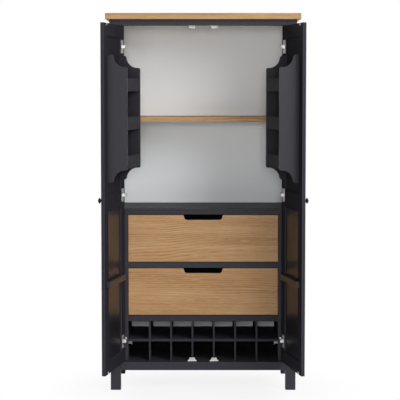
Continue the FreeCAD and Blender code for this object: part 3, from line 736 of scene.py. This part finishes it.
catch_low, catch_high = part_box("magnetic_catches")
face_deep, back_deep = catch_low.y + pole_proud, catch_high.y
lying = Matrix.Rotation(math.radians(90), 4, "X")
housings, poles = bmesh.new(), bmesh.new()
for level, way, catch in ((catch_low.z, 1, low_catch), (catch_high.z, -1, high_catch)):
    foot, tall = catch["foot"], catch["tall"]
    half = [(catch_foot, 0), (catch_foot, foot_upright_share * foot),
            (catch_foot - foot_slope_share * foot, foot), (catch["body"], foot),
            (catch["face"], tall)]
    outline = half + [(-across, up) for across, up in half[::-1]]
    for hand in (-1, 1):
        upright = Matrix.Translation((hand * catch_middle, 0, level)) @ Matrix.Diagonal((1, 1, way, 1))
        pulled(housings, outline, -back_deep, -face_deep, catch_arris, upright @ lying)
        for pole in (-1, 1):
            middle = (foot + tall + pole * (pole_gap + pole_thick)) / 2
            bar = oblong(-pole_half, pole_half, middle - pole_thick / 2, middle + pole_thick / 2)
            pulled(poles, bar, -face_deep - pole_let_in, -catch_low.y, thin_arris, upright @ lying)
        for ear in (-1, 1):
            spot = (ear * (catch["body"] + catch_foot) / 2, (face_deep + back_deep) / 2, foot)
            screw_head(poles, upright @ Matrix.Translation(spot), *catch_screw)
catch_plastic = moulded_plastic("catch_plastic")
catches = fitting("catch_housings", housings, catch_plastic, "carcass")
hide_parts("magnetic_catches")
pole_steel = plated("pole_steel", pole_grey, pole_grey_dull, roughness=0.55)
fitting("catch_poles", poles, pole_steel, "carcass")
for door, hand in sides:
    dress(door + "_strike_plates", zinc_plate, thin_arris)
    strike_low, strike_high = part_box(door + "_strike_plates")
    strike_screws = bmesh.new()
    for level in (strike_low.z + strike_half, strike_high.z - strike_half):
        spot = Matrix.Translation((strike_place, strike_face, level))
        screw_head(strike_screws, door_place(door, hand) @ spot @ facing_back, *strike_screw)
    fitting(door + "_strike_screws", strike_screws, zinc_plate, door)


# Two pressed steel clips hold the ends of the rack's shelf at the front.
# Each has a leg under the shelf, and a plate with a short tail that hangs down behind the edge.
clip_steel = (0.17, 0.17, 0.175, 1)
clip_steel_dull = (0.12, 0.12, 0.125, 1)
clip_long = 0.0185
clip_tall = 0.0100
clip_tail = 0.0060
clip_tail_wide = 0.0048
clip_tip_share = 0.3
clip_thick = 0.0015
clip_leg = 0.015
clip_set_back = 0.0012
clip_let_in = 0.0005

shelf_low, shelf_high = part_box("rack_shelf")
clip_foot = clip_tall + clip_tail
plate_outline = [(0, 0), (clip_long, 0), (clip_long, clip_foot),
                 (clip_long - clip_tip_share * clip_tail_wide, clip_foot),
                 (clip_long - clip_tail_wide, clip_tall), (0, clip_tall)]
leg_outline = oblong(0, clip_long, 0, clip_thick)
clips = bmesh.new()
for hand in (-1, 1):
    spot = (hand * (shelf_high.x - clip_let_in), shelf_low.y + clip_set_back, shelf_low.z)
    corner = Matrix.Translation(spot) @ Matrix.Diagonal((-hand, 1, -1, 1)) @ lying
    pulled(clips, plate_outline, -clip_thick, 0, thin_arris, corner)
    pulled(clips, leg_outline, -clip_leg, -clip_thick / 2, thin_arris, corner)
clip_plate = plated("clip_plate", clip_steel, clip_steel_dull, roughness=0.5)
fitting("rack_shelf_clips", clips, clip_plate, "carcass")


# The studio: a pale floor that goes over into white, soft light from the front right,
# weaker lights in front and behind, an even fill from all round,
# and the camera at the place that the photograph was taken from.
white = (1, 1, 1, 1)
floor_half = 30.0
floor_white = (0.86, 0.86, 0.86, 1)
floor_seen = 0.86
floor_near = 0.24
floor_far = 0.85
fill = 0.139
light_aim = Vector((0.0, 0.0, 0.95))
light_distance = 8.5
camera_place = Vector((-0.015, -7.0768, 1.438))
camera_dip = 4.2425
camera_lens = 133.33
camera_film = 36.0
camera_sight = 200.0


def seen_directly(start):
    """1 for rays that show the background: from the camera, off gloss or through glass."""
    rays = {wire.socket.name: wire for wire in start.node("LightPath").outs()}
    shown = rays["Is Camera Ray"] + rays["Is Glossy Ray"] + rays["Is Transmission Ray"]
    return shown.clamped()


def end_with(tree, output, shader):
    """Links a shader to the end of a node tree."""
    tree.links.new(shader.socket, tree.nodes[output].inputs["Surface"])


floor_mesh = bpy.data.meshes.new("studio_floor")
floor_corners = oblong(-floor_half, floor_half, -floor_half, floor_half)
floor_mesh.from_pydata([(*corner, 0) for corner in floor_corners], [], [(0, 1, 2, 3)])
studio_floor = bpy.data.objects.new("studio_floor", floor_mesh)
bpy.context.scene.collection.objects.link(studio_floor)

floor_finish, floor_place = new_finish("studio_floor")
floor_nodes = floor_finish.node_tree.nodes
floor_nodes.remove(floor_nodes["Principled BSDF"])
across, deep, _ = floor_place.node("SeparateXYZ", {}, {0: floor_place}).outs()
distance = floor_place.maths("SQRT", across * across + deep * deep)
whiteness = floor_seen + (1 - floor_seen) * distance.between(floor_near, floor_far)
matt = floor_place.node("BsdfDiffuse", {}, {"Color": floor_white})
bright = floor_place.node("Emission", {}, {"Color": white, "Strength": 1.0})
share = whiteness * seen_directly(floor_place)
shown = floor_place.node("MixShader", {}, {0: share, 1: matt, 2: bright})
end_with(floor_finish.node_tree, "Material Output", shown)
floor_mesh.materials.append(floor_finish)

world = bpy.data.worlds.new("studio")
bpy.context.scene.world = world
world.use_nodes = True
sky = Wire(world.node_tree)
around = sky.node("Background", {}, {"Color": white, "Strength": fill})
behind = sky.node("Background", {}, {"Color": white, "Strength": 1.0})
both = sky.node("MixShader", {}, {0: seen_directly(sky), 1: around, 2: behind})
end_with(world.node_tree, "World Output", both)


def softbox(name, turn, height, size, power):
    """A soft light that faces the cabinet: so many degrees round from the front, and up."""
    light = bpy.data.lights.new(name, "AREA")
    light.shape = "RECTANGLE"
    light.size, light.size_y = size
    light.energy = power
    lamp = bpy.data.objects.new(name, light)
    round_by, rise = math.radians(turn), math.radians(height)
    way = Vector((math.cos(rise) * math.sin(round_by), -math.cos(rise) * math.cos(round_by),
                  math.sin(rise)))
    lamp.location = light_aim + light_distance * way
    lamp.rotation_euler = (-way).to_track_quat("-Z", "Y").to_euler()
    lamp.visible_camera = False
    bpy.context.scene.collection.objects.link(lamp)


softbox("key_light", turn=40, height=26, size=(5.4, 4.4), power=500.0)
softbox("high_front_light", turn=12, height=26, size=(5.4, 4.4), power=55.0)
softbox("front_light", turn=0, height=5.5, size=(1.2, 1.2), power=148.0)
softbox("low_left_light", turn=-12, height=5.5, size=(1.2, 1.2), power=45.0)
softbox("rear_left_light", turn=-140, height=22, size=(4.0, 4.0), power=230.0)
softbox("rear_right_light", turn=140, height=22, size=(4.0, 4.0), power=230.0)

camera_data = bpy.data.cameras.new("camera")
camera_data.sensor_width = camera_film
camera_data.lens = camera_lens
camera_data.clip_end = camera_sight
camera = bpy.data.objects.new("camera", camera_data)
camera.location = camera_place
camera.rotation_euler = (math.radians(90 - camera_dip), 0, 0)
bpy.context.scene.collection.objects.link(camera)
bpy.context.scene.camera = camera
bpy.context.scene.view_settings.view_transform = "Standard"
